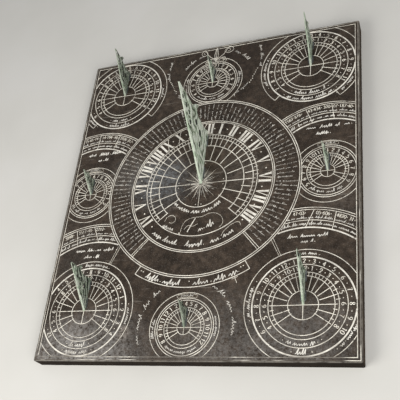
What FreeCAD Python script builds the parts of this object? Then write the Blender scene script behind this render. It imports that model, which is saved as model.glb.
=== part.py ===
import FreeCAD, Part
import math
import os
import Sketcher

# A slate sundial plate with nine dials. It lies face up: +Z is out of the face, +Y is
# north (the XII side of every dial), and the origin is the middle of the underside.
# Every gnomon is a bronze plate that stands on the noon line of its dial. Its two tenons
# go down into mortises in the slate, and lead is run in round them.

doc = FreeCAD.newDocument("garden_sundial")
sheet = doc.addObject("Spreadsheet::Sheet", "Sizes")

# Millimetres, apart from the latitude in degrees. The main dial is placed from the middle
# of the plate, and the others keep a margin from its edges to their centres.
sizes = {
    "latitude": 55.67,        # slope of every style edge
    "plate_width": 521,
    "plate_length": 610,
    "plate_thick": 25,
    "arris": 1.5,             # broken edge round the slate's face and underside
    "main_east": -3,          # main dial's centre from the middle of the plate
    "main_north": 2,
    "corner_side_margin": 80,
    "corner_north_margin": 87,
    "corner_south_margin": 82,
    "small_side_margin": 48,
    "small_north_margin": 88,
    "small_south_margin": 51,
    "tenon_depth": 15,
    "mortise_depth": 18,
    "caulking": 2.5,          # lead between a tenon and its mortise, all round
}

# The same sizes for each kind of gnomon: length of the style edge, gauge of the plate,
# length of the foot, blunt width at the tip, height and reach of the spur on the back
# edge, how far the back edge draws in behind the spur, tenon length, distance from the
# tenons to the ends of the foot, and radius of the largest piercing.
gnomonSizes = {
    "main": dict(style=177, gauge=5, foot=108, tip=4, spur_up=50, spur_out=15,
                 draw_in=3, tenon=18, inset=12, pierce=4.2),
    "corner": dict(style=92, gauge=4, foot=59, tip=3, spur_up=34, spur_out=6,
                   draw_in=4, tenon=12, inset=8, pierce=3),
    "small": dict(style=50, gauge=3, foot=33, tip=2, spur_up=18, spur_out=3,
                  draw_in=2, tenon=7, inset=5, pierce=2),
}
for kind, ownSizes in gnomonSizes.items():
    for word, number in ownSizes.items():
        sizes[f"{kind}_{word}"] = number

for row, (alias, number) in enumerate(sizes.items(), start=1):
    sheet.set(f"A{row}", alias)
    sheet.set(f"B{row}", str(number))
    sheet.setAlias(f"B{row}", alias)
doc.recompute()

# Pierced work, from the tip down: height as a share of the rise, place as a share of the
# way from the style edge to the back edge, and radius as a share of the largest one.
piercings = {
    "main": [(0.83, 0.42, 0.4), (0.71, 0.5, 0.6), (0.61, 0.52, 0.5), (0.545, 0.32, 0.6),
             (0.385, 0.72, 0.85), (0.24, 0.66, 1.0), (0.21, 0.44, 0.7)],
    "corner": [(0.62, 0.45, 0.5), (0.42, 0.6, 0.75), (0.23, 0.55, 1.0)],
    "small": [(0.52, 0.5, 0.55), (0.27, 0.6, 1.0)],
}

# Each dial: its gnomon's kind, and its centre east and north of the plate's middle.
east = "Sizes.main_east"
north = "Sizes.main_north"
cornerAcross = "(Sizes.plate_width / 2 - Sizes.corner_side_margin)"
cornerUp = "(Sizes.plate_length / 2 - Sizes.corner_north_margin)"
cornerDown = "(Sizes.plate_length / 2 - Sizes.corner_south_margin)"
smallAcross = "(Sizes.plate_width / 2 - Sizes.small_side_margin)"
smallUp = "(Sizes.plate_length / 2 - Sizes.small_north_margin)"
smallDown = "(Sizes.plate_length / 2 - Sizes.small_south_margin)"
dials = {
    "main": ("main", east, north),
    "north_west": ("corner", f"{east} - {cornerAcross}", f"{north} + {cornerUp}"),
    "north_east": ("corner", f"{east} + {cornerAcross}", f"{north} + {cornerUp}"),
    "south_west": ("corner", f"{east} - {cornerAcross}", f"{north} - {cornerDown}"),
    "south_east": ("corner", f"{east} + {cornerAcross}", f"{north} - {cornerDown}"),
    "north": ("small", east, f"{north} + {smallUp}"),
    "south": ("small", east, f"{north} - {smallDown}"),
    "west": ("small", f"{east} - {smallAcross}", north),
    "east": ("small", f"{east} + {smallAcross}", north),
}


def valueOf(expression):
    """The number an expression has now, to draw a sketch near its solved shape."""
    return float(sheet.evalExpression(expression))


def newBody(name):
    body = doc.addObject("PartDesign::Body", name)
    body.Label = name
    return body


def newSketch(body, name, plane, lift="0"):
    """A sketch on one of the body's own origin planes, lifted along the plane's normal."""
    sketch = body.newObject("Sketcher::SketchObject", name)
    support = [item for item in body.Origin.OriginFeatures if item.Role == plane][0]
    sketch.AttachmentSupport = [(support, "")]
    sketch.MapMode = "FlatFace"
    sketch.setExpression("AttachmentOffset.Base.z", lift)
    return sketch


def bind(sketch, constraint, name, expression):
    index = sketch.addConstraint(constraint)
    sketch.renameConstraint(index, name)
    sketch.setExpression(f"Constraints.{name}", expression)


def pinPoint(sketch, edge, end, name, across, up):
    """Hold one sketch point at the given distances from the sketch's origin."""
    bind(sketch, Sketcher.Constraint("DistanceX", -1, 1, edge, end, valueOf(across)), f"{name}x", across)
    bind(sketch, Sketcher.Constraint("DistanceY", -1, 1, edge, end, valueOf(up)), f"{name}y", up)


def arcBetween(start, finish, radius, side):
    """An arc and whether it runs from finish to start, as arcs always turn left."""
    chord = finish - start
    middle = (start + finish) * 0.5
    normal = FreeCAD.Vector(-chord.y, chord.x, 0).normalize()
    centre = middle + normal * side * math.sqrt(radius ** 2 - (chord.Length / 2) ** 2)
    first, last = (start, finish) if side > 0 else (finish, start)
    angles = [math.atan2((p - centre).y, (p - centre).x) for p in (first, last)]
    circle = Part.Circle(centre, FreeCAD.Vector(0, 0, 1), radius)
    return Part.ArcOfCircle(circle, angles[0], angles[1]), side < 0


def drawOutline(sketch, label, points, arcs=None):
    """A closed outline through points given as expressions. arcs maps the number of a
    point to the radius of the arc that leaves it, and the side its centre is on."""
    arcs = arcs or {}
    places = [FreeCAD.Vector(valueOf(across), valueOf(up), 0) for across, up in points]
    ends = []
    for index, start in enumerate(places):
        finish = places[(index + 1) % len(places)]
        flipped = False
        edge = Part.LineSegment(start, finish)
        if index in arcs:
            radius, side = arcs[index]
            edge, flipped = arcBetween(start, finish, valueOf(radius), side)
        number = sketch.addGeometry(edge, False)
        ends.append((number, 2, 1) if flipped else (number, 1, 2))
    for index, (number, first, last) in enumerate(ends):
        after = ends[(index + 1) % len(ends)]
        sketch.addConstraint(Sketcher.Constraint("Coincident", number, last, after[0], after[1]))
        pinPoint(sketch, number, first, f"{label}{index}", *points[index])
        if index in arcs:
            radius = arcs[index][0]
            bind(sketch, Sketcher.Constraint("Radius", number, valueOf(radius)), f"{label}{index}r", radius)


def drawRectangle(sketch, label, west, eastSide, south, northSide):
    corners = [(west, south), (eastSide, south), (eastSide, northSide), (west, northSide)]
    drawOutline(sketch, label, corners)


def addPad(body, name, sketch, length, symmetric=False):
    pad = body.newObject("PartDesign::Pad", name)
    pad.Profile = sketch
    pad.SideType = "Symmetric" if symmetric else "One side"
    pad.setExpression("Length", length)
    return pad


def addPocket(body, name, sketch, depth, symmetric=False):
    pocket = body.newObject("PartDesign::Pocket", name)
    pocket.Profile = sketch
    pocket.SideType = "Symmetric" if symmetric else "One side"
    pocket.setExpression("Length", depth)
    return pocket


def tenonSpans(kind):
    """Where the two tenons start and end along the foot, from the style's toe."""
    front = f"Sizes.{kind}_inset"
    back = f"Sizes.{kind}_foot - Sizes.{kind}_inset"
    length = f"Sizes.{kind}_tenon"
    return [(front, f"{front} + {length}"), (f"{back} - {length}", back)]


def buildGnomon(name, kind, dialEast, dialNorth):
    """The triangular plate with its tenons, drawn in the meridian plane of its dial."""
    run = f"Sizes.{kind}_style * cos(Sizes.latitude)"
    rise = f"Sizes.{kind}_style * sin(Sizes.latitude)"
    foot = f"Sizes.{kind}_foot"
    spurUp = f"Sizes.{kind}_spur_up"
    spurOut = f"Sizes.{kind}_spur_out"
    backAtSpur = f"{foot} - Sizes.{kind}_draw_in"
    root = f"({spurOut} + Sizes.{kind}_draw_in)"
    rootTop = f"{spurUp} + 1.4 * {root}"
    rootUnder = f"{spurUp} + 0.4 * {root}"
    under = "-Sizes.tenon_depth"
    points = [("0", "0"), (run, rise), (f"{run} + Sizes.{kind}_tip", f"{rise} - Sizes.{kind}_tip"),
              (backAtSpur, rootTop), (f"{foot} + {spurOut}", spurUp), (backAtSpur, rootUnder),
              (foot, "0")]
    for start, finish in reversed(tenonSpans(kind)):
        points += [(finish, "0"), (finish, under), (start, under), (start, "0")]
    arcs = {3: (f"1.6 * {root}", -1), 4: (f"0.9 * {root}", 1), 5: (f"1.5 * ({rootUnder})", 1)}

    body = newBody(name)
    outline = newSketch(body, f"{name}_outline", "YZ_Plane")
    drawOutline(outline, "p", points, arcs)
    addPad(body, f"{name}_plate", outline, f"Sizes.{kind}_gauge", symmetric=True)

    holes = newSketch(body, f"{name}_holes", "YZ_Plane")
    for index, (upShare, acrossShare, radiusShare) in enumerate(piercings[kind]):
        styleAt = f"{upShare} * {run}"
        backAt = f"{foot} + {upShare} * ({run} - {foot})"
        across = f"{1 - acrossShare} * ({styleAt}) + {acrossShare} * ({backAt})"
        up = f"{upShare} * {rise}"
        radius = f"{radiusShare} * Sizes.{kind}_pierce"
        centre = FreeCAD.Vector(valueOf(across), valueOf(up), 0)
        number = holes.addGeometry(Part.Circle(centre, FreeCAD.Vector(0, 0, 1), valueOf(radius)), False)
        pinPoint(holes, number, 3, f"h{index}", across, up)
        bind(holes, Sketcher.Constraint("Radius", number, valueOf(radius)), f"h{index}r", radius)
    addPocket(body, f"{name}_piercing", holes, f"2 * Sizes.{kind}_gauge", symmetric=True)

    body.setExpression("Placement.Base.x", dialEast)
    body.setExpression("Placement.Base.y", dialNorth)
    body.setExpression("Placement.Base.z", "Sizes.plate_thick")
    return body


def buildCaulking(name, kind, dialEast, dialNorth):
    """The lead round both tenons of one gnomon: it fills the mortises level with the face."""
    body = newBody(name)
    body.AllowCompound = True
    half = f"Sizes.{kind}_gauge / 2"
    blocks = newSketch(body, f"{name}_blocks", "XY_Plane", "-Sizes.mortise_depth")
    slots = newSketch(body, f"{name}_slots", "XY_Plane")
    for index, (start, finish) in enumerate(tenonSpans(kind)):
        drawRectangle(blocks, f"b{index}", f"-{half} - Sizes.caulking", f"{half} + Sizes.caulking",
                      f"{start} - Sizes.caulking", f"{finish} + Sizes.caulking")
        drawRectangle(slots, f"c{index}", f"-{half}", half, start, finish)
    addPad(body, f"{name}_pour", blocks, "Sizes.mortise_depth")
    addPocket(body, f"{name}_tenon_slots", slots, "Sizes.tenon_depth")
    body.setExpression("Placement.Base.x", dialEast)
    body.setExpression("Placement.Base.y", dialNorth)
    body.setExpression("Placement.Base.z", "Sizes.plate_thick")
    return body


def buildSlate():
    """The slate: a rectangular plate with broken edges, and two mortises for each gnomon."""
    body = newBody("slate_plate")
    outline = newSketch(body, "plate_outline", "XY_Plane")
    drawRectangle(outline, "q", "-Sizes.plate_width / 2", "Sizes.plate_width / 2",
                  "-Sizes.plate_length / 2", "Sizes.plate_length / 2")
    addPad(body, "plate_blank", outline, "Sizes.plate_thick")
    doc.recompute()

    blank = body.Tip
    flatEdges = []
    for number, edge in enumerate(blank.Shape.Edges, start=1):
        if abs(edge.tangentAt(edge.FirstParameter).z) < 0.5:
            flatEdges.append(f"Edge{number}")
    chamfer = body.newObject("PartDesign::Chamfer", "plate_arris")
    chamfer.Base = (blank, flatEdges)
    chamfer.setExpression("Size", "Sizes.arris")

    for dial, (kind, dialEast, dialNorth) in dials.items():
        mortises = newSketch(body, f"{dial}_mortises", "XY_Plane", "Sizes.plate_thick")
        half = f"Sizes.{kind}_gauge / 2 + Sizes.caulking"
        for index, (start, finish) in enumerate(tenonSpans(kind)):
            drawRectangle(mortises, f"m{index}", f"{dialEast} - ({half})", f"{dialEast} + {half}",
                          f"{dialNorth} + {start} - Sizes.caulking",
                          f"{dialNorth} + {finish} + Sizes.caulking")
        addPocket(body, f"{dial}_mortise_cut", mortises, "Sizes.mortise_depth")
    return body


pieces = [buildSlate()]
for dial, (kind, dialEast, dialNorth) in dials.items():
    pieces.append(buildGnomon(f"{dial}_gnomon", kind, dialEast, dialNorth))
    pieces.append(buildCaulking(f"{dial}_lead_caulking", kind, dialEast, dialNorth))
doc.recompute()

for item in doc.Objects:
    if "Invalid" in item.State or "Error" in item.State:
        raise RuntimeError(f"{item.Name} did not build: {item.State}")
for piece in pieces:
    if piece.Shape.isNull() or not piece.Shape.isValid():
        raise RuntimeError(f"{piece.Label} has no valid shape")

# Every mortise has to be cut, with the tenon and the lead filling it between them.
blankVolume = doc.getObject("plate_arris").Shape.Volume
mortiseVolume = 0
for kind, dialEast, dialNorth in dials.values():
    across = valueOf(f"Sizes.{kind}_gauge + 2 * Sizes.caulking")
    along = valueOf(f"Sizes.{kind}_tenon + 2 * Sizes.caulking")
    mortiseVolume += 2 * across * along * valueOf("Sizes.mortise_depth")
cutVolume = blankVolume - pieces[0].Shape.Volume
if abs(cutVolume - mortiseVolume) > 0.001 * mortiseVolume:
    raise RuntimeError(f"the mortises hold {cutVolume:.0f} cubic mm, not {mortiseVolume:.0f}")

os.makedirs("parts", exist_ok=True)
for piece in pieces:
    piece.Shape.exportStep(f"parts/{piece.Label}.step")
    box = piece.Shape.BoundBox
    print(f"{piece.Label}: {box.XLength:.1f} x {box.YLength:.1f} x {box.ZLength:.1f} mm,"
          f" {len(piece.Shape.Solids)} solids")
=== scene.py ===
import collections
import math
import random

import bpy
from mathutils import Matrix, Vector, noise
from mathutils.geometry import delaunay_2d_cdt
import numpy


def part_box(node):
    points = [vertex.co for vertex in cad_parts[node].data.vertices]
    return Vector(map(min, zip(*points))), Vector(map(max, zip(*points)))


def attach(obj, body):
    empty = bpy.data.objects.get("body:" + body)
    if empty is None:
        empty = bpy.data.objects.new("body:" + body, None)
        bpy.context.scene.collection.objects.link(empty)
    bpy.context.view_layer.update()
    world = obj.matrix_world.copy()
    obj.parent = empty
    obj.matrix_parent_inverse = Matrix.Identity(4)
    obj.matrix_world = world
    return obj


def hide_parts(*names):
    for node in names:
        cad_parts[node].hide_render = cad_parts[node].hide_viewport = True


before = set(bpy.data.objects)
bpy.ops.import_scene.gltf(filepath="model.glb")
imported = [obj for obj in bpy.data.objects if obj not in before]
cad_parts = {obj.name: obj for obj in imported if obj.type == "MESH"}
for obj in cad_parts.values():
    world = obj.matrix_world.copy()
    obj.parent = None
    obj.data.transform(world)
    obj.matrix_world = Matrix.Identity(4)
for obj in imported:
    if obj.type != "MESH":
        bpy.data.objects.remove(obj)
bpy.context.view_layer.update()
print("frame loaded:", len(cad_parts), "nodes")

mm = 0.001
plateLow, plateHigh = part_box("slate_plate")
plate = {
    "width": (plateHigh.x - plateLow.x) / mm,
    "length": (plateHigh.y - plateLow.y) / mm,
    "top": plateHigh.z / mm,
    "bottom": plateLow.z / mm,
    "arris": 1.4,          # how far the worn edge is rubbed back, on average
    "chip": 2.6,           # the deepest chips out of the edge
    "engraved": 0.4,       # how deep the chiselled lines are cut
    "mortise": 18.0,       # how deep the pits under the gnomons' feet are
    "corner": 2.5,         # radius of the rounded corners
    "perimeterStep": 4.0,  # spacing of the points round the edge
    "sideLevels": (0.35, 0.6, 0.82, 0.94),  # where the sides have a ring, as shares of the thickness
}
latitude = 55.67           # degrees: the slope of the style edges and the spread of the hours
dialNames = ["main", "north_west", "north_east", "south_west", "south_east",
             "north", "south", "west", "east"]


# small tools for the drawing, all in millimetres on the plate's face

def dialCentre(name):
    low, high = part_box(f"{name}_gnomon")
    return Vector(((low.x + high.x) / 2, low.y)) / mm


centres = {name: dialCentre(name) for name in dialNames}


def polar(centre, radius, bearing):
    # bearings are degrees clockwise from north, as the hours run
    angle = math.radians(bearing)
    return Vector((centre.x + radius * math.sin(angle), centre.y + radius * math.cos(angle)))


def area(points):
    return sum(a.x * b.y - b.x * a.y for a, b in zip(points, points[1:] + points[:1])) / 2


deepCuts = []              # chiselled shapes, each a list of points, counter-clockwise
fineCuts = []              # scratched shapes, filled flush with the face
faintCuts = []             # the same, with most of their fill worn away


def cutShape(points, into=deepCuts):
    if area(points) < 0:
        points = points[::-1]
    into.append(points)


def cutQuad(corners, into):
    # a stroke folds over itself in a tight bend, so there its piece is cut as two triangles
    turns = [(corners[i - 1] - corners[i - 2]).cross(corners[i] - corners[i - 1]) for i in range(4)]
    if min(turns) > 1e-6:
        into.append(corners)
        return
    for triangle in (corners[:3], [corners[0], *corners[2:]]):
        if abs(area(triangle)) > 1e-3:
            cutShape(triangle, into)


def cutRibbon(points, width, into=deepCuts):
    # width is one number, or one for each point
    widths = width if isinstance(width, list) else [width] * len(points)
    closed = (points[0] - points[-1]).length < 1e-6
    sides = []
    for i, point in enumerate(points):
        before = points[i - 1] if i else (points[-2] if closed else point)
        after = points[i + 1] if i < len(points) - 1 else (points[1] if closed else point)
        along = (after - before).normalized()
        across = Vector((-along.y, along.x)) * widths[i] / 2
        sides.append((point - across, point + across))
    for (right, left), (nextRight, nextLeft) in zip(sides, sides[1:]):
        cutQuad([right, nextRight, nextLeft, left], into)


def keptRuns(points, allowed):
    # splits a path into the stretches where allowed(point) holds
    runs, run = [], []
    for point in points:
        if allowed(point):
            run.append(point)
        else:
            if len(run) > 1:
                runs.append(run)
            run = []
    if len(run) > 1:
        runs.append(run)
    return runs


def arcPoints(centre, radius, start, end, sag=0.05):
    turn = math.degrees(2 * math.sqrt(2 * sag / radius))
    count = max(2, math.ceil(abs(end - start) / turn))
    return [polar(centre, radius, start + (end - start) * i / count) for i in range(count + 1)]


def insideBorder(point):
    inset = border["inner"] + 0.2
    return abs(point.x) < plate["width"] / 2 - inset and abs(point.y) < plate["length"] / 2 - inset


def cutArc(centre, radius, start, end, width, allowed=None):
    if allowed is None:
        cutRibbon(arcPoints(centre, radius, start, end), width)
        return
    fine = arcPoints(centre, radius, start, end, sag=0.002)
    for run in keptRuns(fine, allowed):
        # keep the ends exact and thin out the rest
        thinned = run[::5] + ([run[-1]] if (len(run) - 1) % 5 else [])
        cutRibbon(thinned, width)


def cutSpoke(centre, bearing, inner, outer, width, allowed=None):
    steps = 60 if allowed else 1
    line = [polar(centre, inner + (outer - inner) * i / steps, bearing) for i in range(steps + 1)]
    for run in keptRuns(line, allowed or (lambda point: True)):
        cutRibbon([run[0], run[-1]], width)


def cutDot(centre, radius, sides=8):
    cutShape([polar(centre, radius, -360 * i / sides) for i in range(sides)])


# ornament that stands where a maker would write: no letters, only running work

pen = {"thin": 0.32, "thick": 0.95, "slant": 0.35}


def penWidths(points, thin, thick):
    # a broad pen: up and down strokes are thick, cross strokes thin
    widths = []
    for i in range(len(points)):
        step = points[min(i + 1, len(points) - 1)] - points[max(i - 1, 0)]
        widths.append(thin + (thick - thin) * abs(step.y) / max(step.length, 1e-6))
    return widths


def smoothPath(points, perSpan):
    # a Catmull-Rom curve through the points
    path = []
    for i in range(len(points) - 1):
        a, b = points[max(i - 1, 0)], points[i]
        c, d = points[i + 1], points[min(i + 2, len(points) - 1)]
        for k in range(perSpan):
            u = k / perSpan
            path.append(0.5 * ((2 * b) + (c - a) * u + (2 * a - 5 * b + 4 * c - d) * u * u
                               + (3 * b - a - 3 * c + d) * u ** 3))
    path.append(points[-1])
    return path


def onArc(centre, radius, start, inward=False):
    # a place along an arc and off it: inward work reads from inside the circle, clockwise
    def place(local):
        if inward:
            bearing = start - math.degrees(local.x / radius)
            return polar(centre, radius - local.y, bearing)
        bearing = start + math.degrees(local.x / radius)
        return polar(centre, radius + local.y, bearing)
    return place


def onLine(start, bearing):
    along = Vector((math.sin(math.radians(bearing)), math.cos(math.radians(bearing))))
    across = Vector((-along.y, along.x))

    def place(local):
        return start + along * local.x + across * local.y
    return place


def runningScroll(place, length, height, seed, pitch=None, thin=None, thick=None, allowed=None,
                  tall=0.17, gap=1.0, into=fineCuts):
    # groups of waves of differing height, some with a tall crest or a tail, and dots in some gaps
    rng = random.Random(seed)
    pitch = pitch or height * 1.15
    thin = thin or pen["thin"]
    thick = thick or pen["thick"]
    along = 0.0
    while along < length - pitch:
        waves = min(rng.randint(2, 6), int((length - along) / pitch))
        if waves < 1:
            break
        points = []
        lift = rng.uniform(-0.12, 0.12)
        for k in range(waves):
            crest = rng.uniform(1.9, 2.4) if rng.random() < tall else rng.choice([0.7, 0.85, 1, 1, 1.1])
            trough = -0.9 if rng.random() < tall * 0.7 else rng.choice([0, 0, 0, 0.15])
            base = along + (k + rng.uniform(-0.12, 0.12)) * pitch
            for share, up in ((0.0, 0.05 + trough * 0.5), (0.3, 0.55), (0.5, crest), (0.72, 0.5)):
                across = base + share * pitch + pen["slant"] * up * height
                points.append(Vector((across, (up + lift) * height)))
        points.append(Vector((along + waves * pitch, (0.1 + lift) * height)))
        if height >= 2.6:
            points = smoothPath(points, 3 if height >= 4 else 2)
        widths = penWidths(points, thin, thick * rng.uniform(0.8, 1.15))
        placed = [place(point) for point in points]
        for run in keptRuns(list(zip(placed, widths)), lambda pair: allowed is None or allowed(pair[0])):
            cutRibbon([pair[0] for pair in run], [pair[1] for pair in run], into)
        along += waves * pitch + gap * pitch * rng.uniform(0.7, 1.5)
        if rng.random() < 0.25:
            spot = place(Vector((along - 0.3 * pitch, height * 0.25)))
            if allowed is None or allowed(spot):
                cutDot(spot, thick * 0.6, 6)
            along += pitch * 0.5


def arcScroll(centre, radius, start, span, height, seed, inward=False, rise=0.0, **style):
    # running work along an arc; rise lifts it off the radius that its length is measured on
    place = onArc(centre, radius + rise, start, inward)
    runningScroll(place, radius * math.radians(span), height, seed, **style)


def spiral(centre, radius, turns, startBearing, direction, width, squash=1.0):
    count = int(18 * turns)
    points = []
    for i in range(count + 1):
        share = i / count
        bearing = startBearing + direction * 360 * turns * share
        point = polar(Vector((0, 0)), radius * (1 - 0.85 * share), bearing)
        points.append(centre + Vector((point.x, point.y * squash)))
    cutRibbon(points, [width * (1 - 0.4 * i / count) for i in range(count + 1)])


# numbers

# Strokes of each figure in a box one unit high: points that a smooth line runs through.
figureStrokes = {
    "0": [[(0.30, 1.0), (0.07, 0.75), (0.07, 0.25), (0.30, 0.0), (0.53, 0.25), (0.53, 0.75), (0.30, 1.0)]],
    "1": [[(0.12, 0.82), (0.30, 1.0)], [(0.30, 1.0), (0.30, 0.0)]],
    "2": [[(0.08, 0.74), (0.16, 0.95), (0.38, 1.0), (0.52, 0.78), (0.40, 0.48), (0.06, 0.04)],
          [(0.06, 0.05), (0.30, 0.10), (0.56, 0.05)]],
    "3": [[(0.08, 0.84), (0.28, 1.0), (0.48, 0.84), (0.42, 0.62), (0.24, 0.54)],
          [(0.24, 0.54), (0.50, 0.42), (0.52, 0.18), (0.30, 0.0), (0.06, 0.12)]],
    "4": [[(0.42, 1.0), (0.04, 0.32)], [(0.04, 0.32), (0.60, 0.32)], [(0.42, 1.0), (0.42, 0.0)]],
    "5": [[(0.52, 0.98), (0.14, 0.98)], [(0.14, 0.98), (0.10, 0.58)],
          [(0.10, 0.58), (0.34, 0.64), (0.54, 0.44), (0.46, 0.12), (0.22, 0.0), (0.05, 0.12)]],
    "6": [[(0.48, 0.95), (0.20, 0.80), (0.07, 0.40), (0.14, 0.08), (0.32, 0.0), (0.52, 0.16),
           (0.50, 0.44), (0.30, 0.56), (0.10, 0.40)]],
    "7": [[(0.06, 0.97), (0.55, 0.97)], [(0.55, 0.97), (0.34, 0.55), (0.24, 0.0)]],
    "8": [[(0.30, 0.54), (0.10, 0.72), (0.16, 0.94), (0.32, 1.0), (0.50, 0.86), (0.44, 0.66),
           (0.14, 0.40), (0.07, 0.16), (0.24, 0.0), (0.46, 0.04), (0.53, 0.26), (0.30, 0.54)]],
    "9": [[(0.50, 0.60), (0.30, 0.44), (0.10, 0.58), (0.10, 0.86), (0.28, 1.0), (0.48, 0.90),
           (0.53, 0.55), (0.42, 0.20), (0.14, 0.02)]],
}
figures = {"advance": 0.68, "thin": 0.09, "thick": 0.18}


def cutNumber(text, centre, radius, bearing, height):
    # figures stand with their tops outward, centred on the bearing
    half = len(text) * figures["advance"] * height / 2
    place = onArc(centre, radius - height / 2, bearing)
    for index, digit in enumerate(text):
        shift = index * figures["advance"] * height - half
        for stroke in figureStrokes[digit]:
            points = [Vector((x * height + shift, y * height)) for x, y in stroke]
            if len(points) > 2:
                points = smoothPath(points, 2)
            widths = penWidths(points, figures["thin"] * height, figures["thick"] * height)
            cutRibbon([place(point) for point in points], widths)


roman = {
    "height": 21.3, "stem": 3.8, "hair": 1.2, "serif": 1.0, "flare": 1.0, "gap": 2.4,
    "vWidth": 11.3, "xWidth": 12.0,
}
romanHours = {4: "IV", 5: "V", 6: "VI", 7: "VII", 8: "VIII", 9: "IX", 10: "X", 11: "XI", 12: "XII",
              1: "I", 2: "II", 3: "III"}


def romanLetter(letter, place):
    # one Roman letter as closed outlines: stems, hairlines and flat serifs
    high, stem, hair, serif = roman["height"], roman["stem"], roman["hair"], roman["serif"]

    def block(corners):
        cutShape([place(Vector(corner)) for corner in corners])

    def cap(x, y, width):
        reach = width / 2 + roman["flare"]
        block([(x - reach, y), (x + reach, y), (x + reach, y + serif), (x - reach, y + serif)])

    if letter == "I":
        block([(-stem / 2, 0), (stem / 2, 0), (stem / 2, high), (-stem / 2, high)])
        cap(0, 0, stem)
        cap(0, high - serif, stem)
    elif letter == "V":
        half = roman["vWidth"] / 2
        block([(-stem / 4, 0), (stem / 4, 0), (-half + stem, high), (-half, high)])
        block([(-hair / 2, 0), (hair / 2, 0), (half, high), (half - hair, high)])
        cap(-half + stem / 2, high - serif, stem)
        cap(half - hair / 2, high - serif, hair)
    else:
        half = roman["xWidth"] / 2
        block([(half - stem, 0), (half, 0), (-half + stem, high), (-half, high)])
        block([(-half, 0), (-half + hair, 0), (half, high), (half - hair, high)])
        for x, width in ((-half + stem / 2, stem), (half - hair / 2, hair)):
            cap(x, high - serif, width)
            cap(-x, 0, width)


def cutRoman(text, centre, inner, bearing):
    widths = {"I": roman["stem"], "V": roman["vWidth"], "X": roman["xWidth"]}
    total = sum(widths[c] for c in text) + (len(text) - 1) * roman["gap"]
    middle = inner + roman["height"] / 2
    along = -total / 2
    for letter in text:
        at = bearing + math.degrees((along + widths[letter] / 2) / middle)
        foot = polar(centre, inner, at)
        upright = onLine(foot, at)
        romanLetter(letter, lambda local, upright=upright: upright(Vector((local.y, -local.x))))
        along += widths[letter] + roman["gap"]


# Geometry Nodes: marks that follow the hours round a dial

def addNode(tree, kind, links=None, **settings):
    # adds a node; links maps an input's number or name to a socket or a plain value
    node = tree.nodes.new(kind)
    for key, value in settings.items():
        setattr(node, key, value)
    for key, value in (links or {}).items():
        if isinstance(value, bpy.types.NodeSocket):
            tree.links.new(value, node.inputs[key])
        else:
            node.inputs[key].default_value = value
    return node


def buildHourTree():
    # Each mark lies at tan(bearing) = sin(latitude) * tan(15 degrees * hours from noon). Marks from
    # six to noon start at the gnomon's west face and from noon to six at its east, and the
    # earlier and later ones at the other face, as the shadow's edge does.
    tree = bpy.data.node_groups.new("hourMarks", "GeometryNodeTree")
    sockets = [("First Hour", "NodeSocketFloat"), ("Last Hour", "NodeSocketFloat"),
               ("Marks Per Hour", "NodeSocketFloat"), ("Inner Radius", "NodeSocketFloat"),
               ("Outer Radius", "NodeSocketFloat"), ("Line Width", "NodeSocketFloat"),
               ("Latitude", "NodeSocketFloat"), ("Gnomon Gauge", "NodeSocketFloat"),
               ("Round", "NodeSocketBool"), ("Material", "NodeSocketMaterial")]
    for name, kind in sockets:
        tree.interface.new_socket(name, in_out="INPUT", socket_type=kind)
    tree.interface.new_socket("Marks", in_out="OUTPUT", socket_type="NodeSocketGeometry")
    given = addNode(tree, "NodeGroupInput").outputs

    def compute(operation, first, second=0.0):
        links = {0: first, 1: second}
        return addNode(tree, "ShaderNodeMath", links, operation=operation).outputs[0]

    span = compute("SUBTRACT", given["Last Hour"], given["First Hour"])
    count = compute("ADD", compute("ROUND", compute("MULTIPLY", span, given["Marks Per Hour"])), 1.0)
    line = addNode(tree, "GeometryNodeMeshLine", {"Count": count})
    index = addNode(tree, "GeometryNodeInputIndex").outputs[0]
    hour = compute("ADD", given["First Hour"], compute("DIVIDE", index, given["Marks Per Hour"]))
    hourAngle = compute("RADIANS", compute("MULTIPLY", hour, 15.0))
    slope = compute("SINE", compute("RADIANS", given["Latitude"]))
    eastward = compute("MULTIPLY", slope, compute("SINE", hourAngle))
    bearing = compute("ARCTAN2", eastward, compute("COSINE", hourAngle))
    middle = compute("MULTIPLY", compute("ADD", given["Inner Radius"], given["Outer Radius"]), 0.5)
    side = compute("SIGN", compute("MULTIPLY", hour, compute("COSINE", hourAngle)))
    face = compute("MULTIPLY", side, compute("MULTIPLY", given["Gnomon Gauge"], 0.5))
    x = compute("ADD", face, compute("MULTIPLY", middle, compute("SINE", bearing)))
    y = compute("MULTIPLY", middle, compute("COSINE", bearing))
    spot = addNode(tree, "ShaderNodeCombineXYZ", {0: x, 1: y})
    points = addNode(tree, "GeometryNodeSetPosition", {"Geometry": line.outputs[0],
                                                       "Position": spot.outputs[0]})
    turn = addNode(tree, "ShaderNodeCombineXYZ", {2: compute("MULTIPLY", bearing, -1.0)})
    long = compute("SUBTRACT", given["Outer Radius"], given["Inner Radius"])
    bar = addNode(tree, "GeometryNodeMeshGrid", {"Size X": given["Line Width"], "Size Y": long,
                                                  "Vertices X": 2, "Vertices Y": 2})
    dot = addNode(tree, "GeometryNodeMeshCircle", {"Vertices": 8, "Radius": given["Line Width"]},
                  fill_type="NGON")
    shape = addNode(tree, "GeometryNodeSwitch", {"Switch": given["Round"], "False": bar.outputs[0],
                                                  "True": dot.outputs[0]}, input_type="GEOMETRY")
    marks = addNode(tree, "GeometryNodeInstanceOnPoints", {"Points": points.outputs[0],
                    "Instance": shape.outputs[0], "Rotation": turn.outputs[0]})
    real = addNode(tree, "GeometryNodeRealizeInstances", {0: marks.outputs[0]})
    finish = addNode(tree, "GeometryNodeSetMaterial", {"Geometry": real.outputs[0],
                                                       "Material": given["Material"]})
    addNode(tree, "NodeGroupOutput", {0: finish.outputs[0]})
    return tree


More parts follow.
